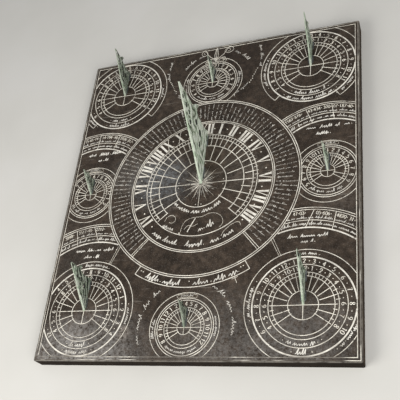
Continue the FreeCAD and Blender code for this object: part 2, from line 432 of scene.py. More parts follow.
def treeMesh(tree, values):
    # runs a tree on an empty object, with its inputs set by identifier, and returns the plain mesh
    carrier = bpy.data.objects.new("carrier", bpy.data.meshes.new("carrier"))
    bpy.context.scene.collection.objects.link(carrier)
    modifier = carrier.modifiers.new("marks", "NODES")
    modifier.node_group = tree
    for item in tree.interface.items_tree:
        if item.in_out == "INPUT" and item.name in values:
            modifier[item.identifier] = values[item.name]
    bpy.context.view_layer.update()
    evaluated = carrier.evaluated_get(bpy.context.evaluated_depsgraph_get())
    mesh = bpy.data.meshes.new_from_object(evaluated)
    carrier.modifiers.remove(modifier)
    bpy.data.objects.remove(carrier)
    return mesh


hourTree = buildHourTree()


def cutHours(centre, first, last, perHour, inner, outer, width, gauge, dots=False):
    mesh = treeMesh(hourTree, {
        "First Hour": float(first), "Last Hour": float(last), "Marks Per Hour": float(perHour),
        "Inner Radius": float(inner), "Outer Radius": float(outer), "Line Width": float(width),
        "Latitude": latitude, "Gnomon Gauge": float(gauge), "Round": dots})
    for polygon in mesh.polygons:
        cutShape([centre + mesh.vertices[i].co.to_2d() for i in polygon.vertices])
    bpy.data.meshes.remove(mesh)


def hourBearing(hour):
    angle = math.radians(15 * hour)
    return math.degrees(math.atan2(math.sin(math.radians(latitude)) * math.sin(angle), math.cos(angle)))


# the border

border = {"outer": 2.9, "outerLine": 1.1, "inner": 7.2, "innerLine": 1.0}


def cutBorder():
    for inset, width in ((border["outer"], border["outerLine"]), (border["inner"], border["innerLine"])):
        x = plate["width"] / 2 - inset
        y = plate["length"] / 2 - inset
        corners = [Vector((-x, -y)), Vector((x, -y)), Vector((x, y)), Vector((-x, y))]
        for start, end in zip(corners, corners[1:] + corners[:1]):
            overrun = (end - start).normalized() * width / 2
            cutRibbon([start - overrun, end + overrun], width)


# the main dial

mainDial = {
    "centre": 45.4, "hourEnd": 75.9, "halfEnd": 91.8, "minuteEnd": 98.8,
    "chapterInner": 125.0, "chapterOuter": 128.0, "bandOuter": 168.7, "rim": 172.0,
    "line": 1.3, "hair": 1.0, "gauge": 5.0, "numeralGap": 2.6, "numeralMiddle": 110.0,
    "halfDots": (111.0, 112.0), "rayReach": (43, 39, 42, 39), "rayRoot": (0.9, 0.55, 0.75, 0.55),
    "rayHairs": 40, "cornerDots": 40.5, "bandSpan": 138, "bandSpokes": 87, "lowScroll": 112.0,
    "bannerOuter": 188.5, "bannerScroll": 184.8, "bannerDots": 178.5, "bannerHalf": 31,
}


def cutMainDial():
    dial, centre = mainDial, centres["main"]
    line, hair = dial["line"], dial["hair"]
    for radius in (dial["centre"], dial["minuteEnd"], dial["chapterInner"], dial["chapterOuter"],
                   dial["bandOuter"], dial["rim"]):
        cutArc(centre, radius, 0, 360, line)
    # hour lines, half-hour lines and a ladder of quarters, from half past three to half past eight
    edge = hourBearing(8.5)
    cutArc(centre, dial["hourEnd"], -edge - 1.4, edge + 1.4, line)
    cutArc(centre, dial["halfEnd"], -edge - 0.9, edge + 0.9, line)
    cutHours(centre, -8, 8, 1, dial["centre"], dial["halfEnd"], line, dial["gauge"])
    cutHours(centre, -8.5, 8.5, 1, dial["hourEnd"], dial["halfEnd"], line, dial["gauge"])
    cutHours(centre, -8.5, 8.5, 4, dial["halfEnd"], dial["minuteEnd"], dial["hair"], dial["gauge"])
    # chapter ring: Roman hours with a dot at each half hour
    for hour in range(-8, 9):
        offset = math.degrees(dial["gauge"] / 2 / dial["numeralMiddle"])
        face = math.copysign(offset, hour) if hour else 0
        bearing = hourBearing(hour) + face * math.cos(math.radians(hourBearing(hour)))
        cutRoman(romanHours[(hour - 1) % 12 + 1], centre, dial["minuteEnd"] + dial["numeralGap"],
                 bearing)
    cutHours(centre, -8.5, 8.5, 1, *dial["halfDots"], line, dial["gauge"], dots=True)
    # sixteen tapered rays at the centre, with hairlines scratched between them
    for ray in range(16):
        reach = dial["rayReach"][ray % 4]
        root = dial["rayRoot"][ray % 4]
        tip = polar(centre, reach, ray * 22.5)
        left = polar(centre, 5, ray * 22.5 - 9 * root)
        right = polar(centre, 5, ray * 22.5 + 9 * root)
        cutShape([left, tip, right, polar(centre, 1.5, ray * 22.5)])
    rng = random.Random(17)
    for _ in range(dial["rayHairs"]):
        bearing, start = rng.uniform(0, 360), rng.uniform(6, 14)
        hairline = [polar(centre, start, bearing), polar(centre, start + rng.uniform(8, 18), bearing)]
        cutRibbon(hairline, rng.uniform(0.3, 0.55), faintCuts)
    for quarter in range(4):
        cutSpoke(centre, quarter * 90, 5, dial["centre"], hair * 0.8)
        for off in (7, -7):
            cutDot(polar(centre, dial["cornerDots"], quarter * 90 + off), 0.9, 6)
    # band of close radial work, shut off at both ends by a double line
    spokes = dial["bandSpokes"]
    for spoke in range(spokes):
        rng = random.Random(400 + spoke)
        bearing = dial["bandSpan"] * (2 * spoke / (spokes - 1) - 1) * 0.985
        inner = dial["chapterOuter"] + rng.uniform(2.0, 4.0)
        outer = dial["bandOuter"] - rng.uniform(1.5, 8)
        if bearing < 0:
            place = onLine(polar(centre, outer, bearing), bearing + 180)
        else:
            place = onLine(polar(centre, inner, bearing), bearing)
        runningScroll(place, outer - inner, rng.uniform(1.5, 2.1), 900 + spoke, pitch=rng.uniform(2.4, 3.4),
                      thin=0.4, thick=rng.uniform(0.7, 1.1), tall=0.25, into=faintCuts)
    for side in (-1, 1):
        for bearing in (dial["bandSpan"] + 1.2, dial["bandSpan"] + 2.5):
            cutSpoke(centre, side * bearing, dial["chapterOuter"], dial["bandOuter"], dial["hair"])


def cutMainPlate():
    # the quiet lower part of the dial: running work under the centre and along the foot, with
    # swashes between them and an oval
    centre = centres["main"]
    arcScroll(centre, mainDial["centre"] + 11.5, 180 + 54, 104, 5.4, 31, inward=True,
              pitch=4.8, thin=0.5, thick=1.7, tall=0.0, gap=0.7)
    # two thin swashes with a bold stroke between them, and running work beside and under them
    swashes = [
        ([(-26, -90), (-24, -79), (-19, -70), (-8, -65), (9, -64), (21, -59), (34, -60), (44, -68), (46, -79),
          (41, -86)], 0.6),
        ([(-57, -68), (-54, -61), (-46, -57), (-39, -61), (-38, -68), (-44, -72), (-49, -70)], 0.7),
        ([(-14, -91), (-9, -80), (-2, -66)], 1.6),
        ([(-20, -86), (-14, -79), (-5, -81), (3, -77)], 0.6)]
    for points, width in swashes:
        cutRibbon(smoothPath([centre + Vector(point) for point in points], 5), width)
    cutDot(centre + Vector((-28, -92)), 1.5)
    for x, y, bearing, length, height, seed in ((-61, -77, 117, 28, 4.6, 41), (5, -91, 68, 30, 5.2, 42)):
        runningScroll(onLine(centre + Vector((x, y)), bearing), length, height, seed, pitch=4.4,
                      thin=0.5, thick=1.5, tall=0.15, gap=0.8)
    for start, span, height, seed in ((221, 27, 5.2, 52), (188, 18, 4.8, 53), (166, 22, 5.2, 54)):
        arcScroll(centre, mainDial["lowScroll"], start, span, height, seed, inward=True, rise=5.5,
                  pitch=5.0, thin=0.6, thick=1.6, tall=0.25)
    oval = [(156, 112), (152, 106), (146, 103), (140, 104), (137, 109), (138, 115)]
    cutRibbon(smoothPath([polar(centre, radius, bearing) for bearing, radius in oval], 5), 0.7)


def cutBanner():
    dial, centre = mainDial, centres["main"]
    start, end = 180 - dial["bannerHalf"], 180 + dial["bannerHalf"]
    cutArc(centre, dial["bannerOuter"], start, end, dial["line"])
    for bearing in (start, end):
        cutSpoke(centre, bearing, dial["rim"], dial["bannerOuter"], dial["line"])
    for bearing in (start + 2, start + 3.4, 180, end - 3.4, end - 2):
        cutDot(polar(centre, dial["bannerDots"], bearing), 1.0)
    for at, span, seed in ((end - 6, 21, 61), (178, 24, 63)):
        arcScroll(centre, dial["bannerScroll"], at, span, 4.6, seed, inward=True,
                  pitch=5.0, thin=0.6, thick=1.45, tall=0.25)
    # a short tick hangs below the banner's east end
    cutSpoke(centre, 157, dial["bannerOuter"] + 1, dial["bannerOuter"] + 12, 0.9)
    cutArc(centre, dial["bannerOuter"] + 2.5, 155.5, 158.5, 0.7)


# the corner dials

cornerDial = {
    "centre": 22.3, "hourEnd": 45.4, "minuteEnd": 51.5, "middle": 63.7, "strong": 75.9, "outer": 88.1,
    "line": 1.1, "strongLine": 2.3, "gauge": 4.0, "figure": 7.0, "footRings": (60.4, 72.6),
}
# For each corner dial: the hours by which its outer ring of figures is ahead, where its outer
# arc stops (the southern pair's runs into the border), the stretches of fine ornament in its
# outer band, and half the spread of the ornament at the foot of its two rings. All but the
# hours are in degrees.
cornerVaried = {
    "north_west": {"shift": 5, "ends": (-140, 132), "labels": [(-139, -121), (86, 102)], "foot": (16, 18)},
    "north_east": {"shift": 3, "ends": (-137, 145), "labels": [(-112, -70), (117, 143)], "foot": (27, 34)},
    "south_west": {"shift": 8, "ends": None, "labels": [(-10, 21), (87, 110)], "foot": (15, 17)},
    "south_east": {"shift": 2, "ends": None, "labels": [(-102, -64), (-6, 13), (112, 140)], "foot": (23, 7)},
}


def cutHourFace(dial, centre, tick):
    # the lines at six and at midnight, the hour lines, and a tick at every half hour
    cutSpoke(centre, 90, -dial["centre"], dial["centre"], dial["line"])
    cutSpoke(centre, 180, 0, dial["centre"], dial["line"])
    cutHours(centre, -8, 8, 1, dial["centre"], dial["hourEnd"], dial["line"], dial["gauge"])
    cutHours(centre, -8, 8, 2, dial["hourEnd"], dial["minuteEnd"], tick, dial["gauge"])


def cutCornerDial(name, seed):
    dial, centre, varied = cornerDial, centres[name], cornerVaried[name]
    line = dial["line"]
    for radius in (dial["centre"], dial["hourEnd"], dial["minuteEnd"]):
        cutArc(centre, radius, 0, 360, line)
    cutArc(centre, dial["middle"], 0, 360, line, insideBorder)
    cutArc(centre, dial["strong"], 0, 360, dial["strongLine"], insideBorder)
    if varied["ends"]:
        west, east = varied["ends"]
        cutArc(centre, dial["outer"], west, east, line, insideBorder)
        for bearing in (west, east):
            cutSpoke(centre, bearing, dial["strong"], dial["outer"], line, insideBorder)
    else:
        cutArc(centre, dial["outer"], 0, 360, line, insideBorder)
    cutHourFace(dial, centre, line * 0.9)
    rings = [((dial["minuteEnd"] + dial["middle"]) / 2, 0),
             ((dial["middle"] + dial["strong"]) / 2 - 0.5, varied["shift"])]
    for radius, shift in rings:
        for hour in range(-8, 9):
            bearing = hourBearing(hour)
            if insideBorder(polar(centre, radius + 5, bearing)):
                cutNumber(str((hour + shift - 1) % 12 + 1), centre, radius, bearing, dial["figure"])
            half = hourBearing(hour + 0.5)
            if hour < 8 and insideBorder(polar(centre, radius + 2, half)):
                cutDot(polar(centre, radius, half), 0.85, 6)
    # ornament at the foot of both rings, and in the outer band
    for ring, (radius, spread) in enumerate(zip(dial["footRings"], varied["foot"])):
        arcScroll(centre, radius, 180 + spread, 2 * spread, 4.2, seed + ring, inward=True,
                  pitch=3.6, thin=0.55, thick=1.05)
        for side in (-1, 1):
            cutDot(polar(centre, radius - 2, 180 + side * (spread + 5)), 0.8, 6)
    band = dial["strong"] + 3.6
    for index, (start, end) in enumerate(varied["labels"]):
        arcScroll(centre, band, start, end - start, 3.8, seed + 5 + index,
                  pitch=3.1, thin=0.55, thick=1.0, allowed=insideBorder)
        for bearing in (start - 4, end + 3):
            spot = polar(centre, band + 1.5, bearing)
            if insideBorder(spot):
                cutDot(spot, 0.8, 6)


# the small dials between them

smallDial = {
    "centre": 11.3, "hourEnd": 27.5, "minuteEnd": 32.6, "strong": 44.2, "double": 47.6, "outer": 56.7,
    "line": 0.95, "gauge": 3.0, "figure": 6.4, "label": 52.2, "labelHalf": 2.6, "labelSpread": 16,
    "shifts": {"north": 0, "south": 4, "west": 6, "east": 1},
}


def cutSmallDial(name, seed):
    dial, centre = smallDial, centres[name]
    line = dial["line"]
    for radius in (dial["centre"], dial["hourEnd"], dial["minuteEnd"]):
        cutArc(centre, radius, 0, 360, line)
    for radius in (dial["strong"], dial["double"]):
        cutArc(centre, radius, 0, 360, line * 1.2, clearOfMain)
    cutArc(centre, dial["outer"], 0, 360, line, clearOfMain)
    cutHourFace(dial, centre, line)
    radius = (dial["minuteEnd"] + dial["strong"]) / 2
    for hour in range(-8, 9):
        bearing = hourBearing(hour)
        if insideBorder(polar(centre, radius + 4, bearing)):
            number = (hour + dial["shifts"][name] - 1) % 12 + 1
            cutNumber(str(number), centre, radius, bearing, dial["figure"])
    arcScroll(centre, radius, 180 + 44, 88, 3.4, seed, inward=True, rise=1.8, pitch=3.2, thin=0.35, thick=0.8)
    # a long label with rounded ends at the top of the outer band
    half, spread = dial["labelHalf"], dial["labelSpread"]
    for off in (-half, half):
        cutArc(centre, dial["label"] + off, -spread, spread, 0.5, clearOfMain)
    for side in (-1, 1):
        end = polar(centre, dial["label"], side * spread)
        turn = [polar(end, half, side * (spread + a)) for a in range(0, 181, 30)]
        for run in keptRuns(turn, clearOfMain):
            cutRibbon(run, 0.5)
    arcScroll(centre, dial["label"] - 1, -12, 24, 1.8, seed + 1, pitch=2.0, thin=0.3, thick=0.6,
              allowed=clearOfMain)
    for side in (-1, 1):
        arcScroll(centre, dial["label"] - 2, side * 90 - 20, 40, 2.6, seed + 3 + side, pitch=2.4, thin=0.3,
                  thick=0.6, allowed=clearOfMain)


# the arched tables over the west, east, south-west and south-east dials

tables = {
    "upper": {"strong": 98.8, "thin": 111.6, "double": 130.0, "rim": 133.5},
    "lower": {"strong": 125.0, "thin": 137.5, "double": 155.8, "rim": 159.5},
    "strongLine": 2.2, "line": 1.1, "figure": 5.6, "spread": 57,
}
# The cell walls of each table, as their bearings at the outer and at the inner line.
tableWalls = {
    "west": ("upper", [(-21, -24), (-1.4, -3.3), (17.3, 17.3)]),
    "east": ("upper", [(-16.9, -15.0), (2.3, 5.6), (22, 26)]),
    "south_west": ("lower", [(-31, -36), (-16.4, -17.3), (-3.8, 1.4)]),
    "south_east": ("lower", [(4.7, 0.0), (17.3, 18.7), (31, 37)]),
}


def clearOfMain(point):
    return (point - centres["main"]).length > mainDial["rim"] + 0.8 and insideBorder(point)


def cutTable(name, seed):
    kind, walls = tableWalls[name]
    table, centre = tables[kind], centres[name]
    spread = tables["spread"]
    cutArc(centre, table["strong"], -spread, spread, tables["strongLine"], clearOfMain)
    for radius in (table["thin"], table["double"], table["rim"]):
        cutArc(centre, radius, -spread, spread, tables["line"], clearOfMain)
    for outer, inner in walls:
        start, end = polar(centre, table["strong"], inner), polar(centre, table["double"], outer)
        path = [start.lerp(end, i / 40) for i in range(41)]
        for run in keptRuns(path, clearOfMain):
            cutRibbon([run[0], run[-1]], tables["line"])
    # a row of strong figures, a row of fine work under it, and one in the lower band
    rng = random.Random(seed)
    upper = table["double"] - 5.6
    bearing = -spread
    while bearing < spread:
        digits = rng.randint(2, 4)
        turn = math.degrees(figures["advance"] * tables["figure"] / upper)
        group = [bearing + turn * k for k in range(digits)]
        wall = min((abs(at - outer) for at in group for outer, _ in walls), default=9)
        reach = [polar(centre, upper + side * 5, at + lean)
                 for at in group for side in (-1, 1) for lean in (-1, 1)]
        if wall < 1.6 or not all(clearOfMain(point) for point in reach):
            bearing += turn * 0.5
            continue
        for at in group:
            cutNumber(str(rng.randint(0, 9)), centre, upper, at, tables["figure"])
        bearing += turn * (digits + 0.4)
        spot = polar(centre, upper, bearing - turn * 0.55)
        if clearOfMain(spot):
            cutDot(spot, 0.75, 6)
        bearing += turn * 0.3
    for row, (radius, height) in enumerate(((table["thin"] + 3.0, 2.4), (table["strong"] + 4.6, 2.9))):
        arcScroll(centre, radius, -spread, 2 * spread, height, seed + row, pitch=2.6, thin=0.5, thick=0.95,
                  allowed=clearOfMain)


def cutScript(x, y, length, height, seed, bearing=90):
    runningScroll(onLine(Vector((x, y)), bearing), length, height * 0.62, seed, pitch=height * 0.8,
                  thin=0.55, thick=1.35, tall=0.35, gap=1.5)


def cutUnderTables():
    for x, y, length, height, seed in ((-236, 86, 72, 4.6, 71), (-214, 73, 24, 4.4, 72),
                                       (174, 86, 70, 4.6, 73), (190, 73, 24, 4.2, 74),
                                       (-222, -113, 74, 4.6, 75), (-203, -125, 30, 4.4, 76),
                                       (151, -112, 70, 4.6, 77), (171, -121, 20, 4.2, 78)):
        cutScript(x, y, length, height, seed)
    # double lines that join the southern dials to the main rim
    for name, bearing, reach in (("south_west", 22, 34), ("south_east", -25, 34)):
        for off in (-0.9, 0.9):
            cutSpoke(centres[name], bearing + off, cornerDial["outer"], cornerDial["outer"] + reach, 0.7)


# ornament above the north dial, and running work between the dials

def cutNorthOrnament():
    middle = Vector((centres["north"].x + 2, 0))
    spear = [(0, 270), (-3.5, 280), (-2.6, 290), (0, 301), (2.6, 290), (3.5, 280), (0, 270)]
    cutRibbon(smoothPath([middle + Vector(point) for point in spear], 3), 1.0)
    cutRibbon([middle + Vector((0, 266)), middle + Vector((0, 301))], 1.0)
    # on each side a stem that ends in a scroll, a small curl at its foot and a loose leaf
    for side, reach, radius, squash in ((-1, 23, 8.0, 1.0), (1, 23, 11.5, 0.72)):
        stem = [(0, 268), (5, 275), (11, 280), (17, 287), (reach, 291 + radius * squash)]
        cutRibbon(smoothPath([middle + Vector((side * px, py)) for px, py in stem], 4), 0.9)
        spiral(middle + Vector((side * reach, 291)), radius, 1.6, 0, side, 0.95, squash)
        spiral(middle + Vector((side * 14, 273)), 5, 1.3, 180, -side, 0.8)
        leaf = [(3, 266), (9, 261), (17, 262), (21, 268), (15, 270)]
        cutRibbon(smoothPath([middle + Vector((side * px, py)) for px, py in leaf], 4), 0.7)


def cutBetweenDials():
    north, south = centres["north"], centres["south"]
    over = north + Vector((0, 40))
    for centre, radius, start, end, height, seed in (
            (north, 69, -55, -18, 3.2, 81), (north, 75, 30, 62, 3.2, 82), (over, 89, -104, -70, 2.8, 83),
            (over, 89, 70, 104, 2.8, 84), (over, 86, -150, -128, 2.6, 87), (over, 86, 128, 150, 2.6, 88),
            (south, 76, -110, -36, 3.4, 85), (south, 76, 31, 105, 3.4, 86)):
        arcScroll(centre, radius, start, end - start, height, seed, pitch=height * 1.4, thin=0.4,
                  thick=0.85, tall=0.3, gap=1.2, allowed=clearOfMain)
    rng = random.Random(19)
    for bearing in range(106, 128, 3):
        for side in (-1, 1):
            cutDot(polar(over, 88 + rng.uniform(-2, 2), side * bearing), rng.uniform(0.9, 1.3), 6)


cutBorder()
cutMainDial()
cutMainPlate()
cutBanner()
for index, name in enumerate(cornerVaried):
    cutCornerDial(name, 100 + 20 * index)
for index, name in enumerate(smallDial["shifts"]):
    cutSmallDial(name, 200 + 10 * index)
for index, name in enumerate(tableWalls):
    cutTable(name, 301 + index)
cutUnderTables()
cutNorthOrnament()
cutBetweenDials()
print("engraving drawn:", len(deepCuts), "cut shapes,", len(fineCuts) + len(faintCuts), "scratched")


# meshes from flat drawings

def steppedFace(outline, regions, shift):
    # Lays flat regions over an outline, each with its own height. Returns the vertices, the
    # faces with their region's number, and the loop of vertices round the outline. Where
    # regions overlap the one listed last wins, and upright walls join different heights.
    points, faces, owner, reach = list(outline), [list(range(len(outline)))], [0], [None]
    for number, (height, shapes) in enumerate(regions, start=1):
        for shape in shapes:
            first = len(points)
            points.extend(shape)
            faces.append(list(range(first, len(points))))
            owner.append(number)
            across, along = [p.x for p in shape], [p.y for p in shape]
            reach.append((min(across), max(across), min(along), max(along)))
    flat, _, triangles, origins, _, sources = delaunay_2d_cdt(
        [Vector((p.x, p.y)) for p in points], [], faces, 1, 1e-4, True)
    heights = [0.0] + [height for height, _ in regions]
    kept, kinds = [], []
    for triangle, source in zip(triangles, sources):
        # a sliver can claim triangles far outside itself, and those claims are dropped
        middle = (flat[triangle[0]] + flat[triangle[1]] + flat[triangle[2]]) / 3
        kind = 0
        for claim in source:
            if claim and owner[claim] > kind:
                left, right, low, high = reach[claim]
                if left <= middle.x <= right and low <= middle.y <= high:
                    kind = owner[claim]
        if 0 in source:
            kept.append(triangle)
            kinds.append(kind)
    verts, lookup = [], {}

    def vertexAt(index, height):
        key = (index, height)
        if key not in lookup:
            lookup[key] = len(verts)
            verts.append(Vector((flat[index].x, flat[index].y, shift + height)))
        return lookup[key]

    out, edgeOwners = [], {}
    for triangle, kind in zip(kept, kinds):
        height = heights[kind]
        out.append(([vertexAt(i, height) for i in triangle], kind))
        for a, b in zip(triangle, list(triangle[1:]) + [triangle[0]]):
            edgeOwners.setdefault((min(a, b), max(a, b)), []).append((kind, a, b))
    follow = {}
    for sides in edgeOwners.values():
        if len(sides) == 1:
            _, a, b = sides[0]
            follow[a] = b
            continue
        (kindA, a, b), (kindB, _, _) = sides
        if heights[kindA] == heights[kindB]:
            continue
        if heights[kindA] < heights[kindB]:
            a, b, kindA, kindB = b, a, kindB, kindA
        # a to b runs along the higher side, so the wall faces the lower one
        wall = [vertexAt(b, heights[kindA]), vertexAt(a, heights[kindA]),
                vertexAt(a, heights[kindB]), vertexAt(b, heights[kindB])]
        out.append((wall, kindB))
    # round the outer edge, from the first outline point
    start = at = next(i for i, sources in enumerate(origins) if 0 in sources)
    loop = []
    while not loop or at != start:
        loop.append(lookup[(at, 0.0)])
        at = follow[at]
    return verts, out, loop


def makeObject(name, verts, faces, materials, kindSlots):
    mesh = bpy.data.meshes.new(name)
    mesh.from_pydata([tuple(v * mm) for v in verts], [], [face for face, _ in faces])
    for material in materials:
        mesh.materials.append(material)
    for polygon, (_, kind) in zip(mesh.polygons, faces):
        polygon.material_index = kindSlots[kind]
    mesh.validate()
    mesh.update()
    obj = bpy.data.objects.new(name, mesh)
    bpy.context.scene.collection.objects.link(obj)
    return obj


def hexColour(code):
    channels = [int(code[i:i + 2], 16) / 255 for i in (1, 3, 5)]
    linear = [c / 12.92 if c <= 0.04045 else ((c + 0.055) / 1.055) ** 2.4 for c in channels]
    return (*linear, 1.0)


# materials

def newMaterial(name):
    material = bpy.data.materials.new(name)
    material.use_nodes = True
    tree = material.node_tree
    tree.nodes.clear()
    shader = addNode(tree, "ShaderNodeBsdfPrincipled")
    addNode(tree, "ShaderNodeOutputMaterial", {"Surface": shader.outputs[0]})
    place = addNode(tree, "ShaderNodeTexCoord").outputs["Object"]
    return material, tree, shader, place


def ramp(tree, factor, stops):
    node = addNode(tree, "ShaderNodeValToRGB", {0: factor})
    elements = node.color_ramp.elements
    while len(elements) < len(stops):
        elements.new(0.5)
    for element, (at, code) in zip(elements, stops):
        element.position = at
        element.color = hexColour(code)
    return node.outputs[0]


def mixColours(tree, factor, first, second, blend="MIX"):
    node = addNode(tree, "ShaderNodeMix", {0: factor, 6: first, 7: second}, data_type="RGBA",
                   blend_type=blend)
    return node.outputs[2]


slateLook = {
    "body": [(0.30, "#3a3026"), (0.50, "#4a3e33"), (0.70, "#5b4e42")],
    "dust": "#a29c94",
    "scratch": "#8d857b",
    "rubbedEdge": "#8f8a80",
    # painted shade for the south side face
    "paintedSouthShade": "#14110e",
    # cloudy marks on the face: x and y in mm, radius in mm, strength, and colour. The pale bluish one left of
    # the main dial's centre is a painted sheen, a painted reflection on the polish; the dark one to the north
    # and the pale ones along the south edge make the face darker to the north and paler to the south
    "marks": [(20, 262, 120, 0.9, "#1c1510"), (-78, 12, 75, 1.0, "#90969a"),
              (-105, -259, 17, 1.0, "#bfb2a4"), (60, -300, 130, 0.7, "#8d8a86"),
              (-140, -300, 110, 1.0, "#a4a19d"), (-215, -290, 80, 1.0, "#aba8a4"),
              (-150, 40, 60, 0.5, "#7d7b76"), (180, -290, 120, 0.7, "#8d8a86"),
              (240, -60, 60, 0.4, "#7b746c"), (-230, -120, 90, 0.5, "#7b746c"),
              (70, 20, 60, 0.5, "#7d776e"), (-3, 10, 26, 0.9, "#adaca4")],
}


def slateMaterial():
    # rubbed slate: dense and dark, faintly brown, with cloudy bloom, fine scratches, a dull sheen where it
    # was polished and a painted sheen left of the main dial's centre, a paler, bruised line along its edges,
    # and painted shade on the south side
    material, tree, shader, place = newMaterial("rubbedSlate")

    def compute(operation, first, second=0.0, clamp=False):
        return addNode(tree, "ShaderNodeMath", {0: first, 1: second}, operation=operation,
                       use_clamp=clamp).outputs[0]

    def noiseAt(scale, detail, roughness=0.55, vector=place):
        links = {"Vector": vector, "Scale": scale, "Detail": detail, "Roughness": roughness}
        return addNode(tree, "ShaderNodeTexNoise", links).outputs[0]

    clouds = noiseAt(14.0, 6.0, 0.62)
    mottle = noiseAt(110.0, 5.0, 0.65)
    grain = noiseAt(600.0, 3.0)
    colour = ramp(tree, clouds, slateLook["body"])
    patches = ramp(tree, mottle, [(0.32, "#585858"), (0.50, "#b0b0b0"), (0.68, "#ffffff")])
    colour = mixColours(tree, 0.7, colour, patches, "MULTIPLY")
    parts = addNode(tree, "ShaderNodeSeparateXYZ", {0: place}).outputs
    onFace = addNode(tree, "ShaderNodeMapRange", {0: parts[2], 1: (plate["top"] - 2) * mm,
                                                  2: plate["top"] * mm}).outputs[0]
    # bloom: pale cloudy marks, with the painted sheen among them, broken up by the mottle and by a fine
    # speckle
    speckle = addNode(tree, "ShaderNodeMapRange", {0: noiseAt(260.0, 4.0, 0.7), 1: 0.35, 2: 0.68}).outputs[0]
    patchy = addNode(tree, "ShaderNodeMapRange", {0: clouds, 1: 0.3, 2: 0.62, 3: 0.25}).outputs[0]
    broken = compute("MULTIPLY", compute("MULTIPLY", speckle, patchy), onFace)
    dust = addNode(tree, "ShaderNodeMapRange", {0: noiseAt(520.0, 2.0, 0.6), 1: 0.56, 2: 0.74,
                                                4: 0.3}).outputs[0]
    colour = mixColours(tree, compute("MULTIPLY", dust, onFace), colour, hexColour(slateLook["dust"]))
    # each mark is laid over the colour; one of them is the painted sheen left of the main dial's centre
    for x, y, radius, strength, code in slateLook["marks"]:
        offset = addNode(tree, "ShaderNodeVectorMath", {0: place, 1: (x * mm, y * mm, plate["top"] * mm)},
                         operation="SUBTRACT").outputs[0]
        far = addNode(tree, "ShaderNodeVectorMath", {0: offset}, operation="LENGTH").outputs["Value"]
        near = addNode(tree, "ShaderNodeMapRange", {0: far, 1: radius * mm, 2: radius * 0.2 * mm,
                                                    4: strength}, interpolation_type="SMOOTHSTEP").outputs[0]
        colour = mixColours(tree, compute("MULTIPLY", near, broken), colour, hexColour(code))
    # scratches: thin streaks of stretched noise, crossing at two slants
    for turn, stretch in ((0.5, 9.0), (-0.9, 7.0)):
        turned = addNode(tree, "ShaderNodeMapping", {"Vector": place, "Rotation": (0, 0, turn),
                                                     "Scale": (18.0, 18.0 * 70 / stretch, 18.0)}).outputs[0]
        streak = noiseAt(1.0, 2.0, 0.5, turned)
        thin = addNode(tree, "ShaderNodeMapRange", {0: streak, 1: 0.70, 2: 0.76, 4: 0.35}).outputs[0]
        colour = mixColours(tree, thin, colour, hexColour(slateLook["scratch"]))
    # the rubbed edge, from the distance inside the plate's outline
    inX = compute("SUBTRACT", plate["width"] / 2 * mm, compute("ABSOLUTE", parts[0]))
    inY = compute("SUBTRACT", plate["length"] / 2 * mm, compute("ABSOLUTE", parts[1]))
    inside = compute("ADD", compute("MINIMUM", inX, inY), compute("MULTIPLY", mottle, -6 * mm))
    rub = addNode(tree, "ShaderNodeMapRange", {0: inside, 1: 0.0, 2: -3 * mm, 4: 0.7},
                  interpolation_type="SMOOTHSTEP").outputs[0]
    colour = mixColours(tree, compute("MULTIPLY", rub, onFace), colour, hexColour(slateLook["rubbedEdge"]))
    # the sides are rough and dull, and the south one is painted near black as shade
    side = compute("SUBTRACT", 1.0, onFace)
    south = addNode(tree, "ShaderNodeMapRange", {0: parts[1], 1: (2.5 - plate["length"] / 2) * mm,
                                                 2: (1.2 - plate["length"] / 2) * mm, 4: 0.7}).outputs[0]
    colour = mixColours(tree, compute("MULTIPLY", side, south), colour, hexColour(slateLook["paintedSouthShade"]))
    tree.links.new(colour, shader.inputs["Base Color"])
    rough = addNode(tree, "ShaderNodeMapRange", {0: mottle, 1: 0.3, 2: 0.7, 3: 0.38, 4: 0.6}).outputs[0]
    tree.links.new(compute("ADD", rough, compute("MULTIPLY", side, 0.35)), shader.inputs["Roughness"])
    sheen = addNode(tree, "ShaderNodeMapRange", {0: side, 3: 0.3, 4: 0.06}).outputs[0]
    tree.links.new(sheen, shader.inputs["Specular IOR Level"])
    height = compute("ADD", grain, compute("MULTIPLY", mottle, 1.5))
    bump = addNode(tree, "ShaderNodeBump", {"Height": height, "Strength": 0.25, "Distance": 0.0003})
    tree.links.new(bump.outputs[0], shader.inputs["Normal"])
    shader.inputs["IOR"].default_value = 1.5
    return material


fillLook = {
    "body": [(0.28, "#b0a99d"), (0.42, "#dcd7cc"), (0.60, "#f8f4e9")],
    "bare": "#5e554b",
    "southBand": (12, 6),  # mm from the south edge where the loss begins and where it is full
    "outerLine": (6, 4),   # the same from any edge
}


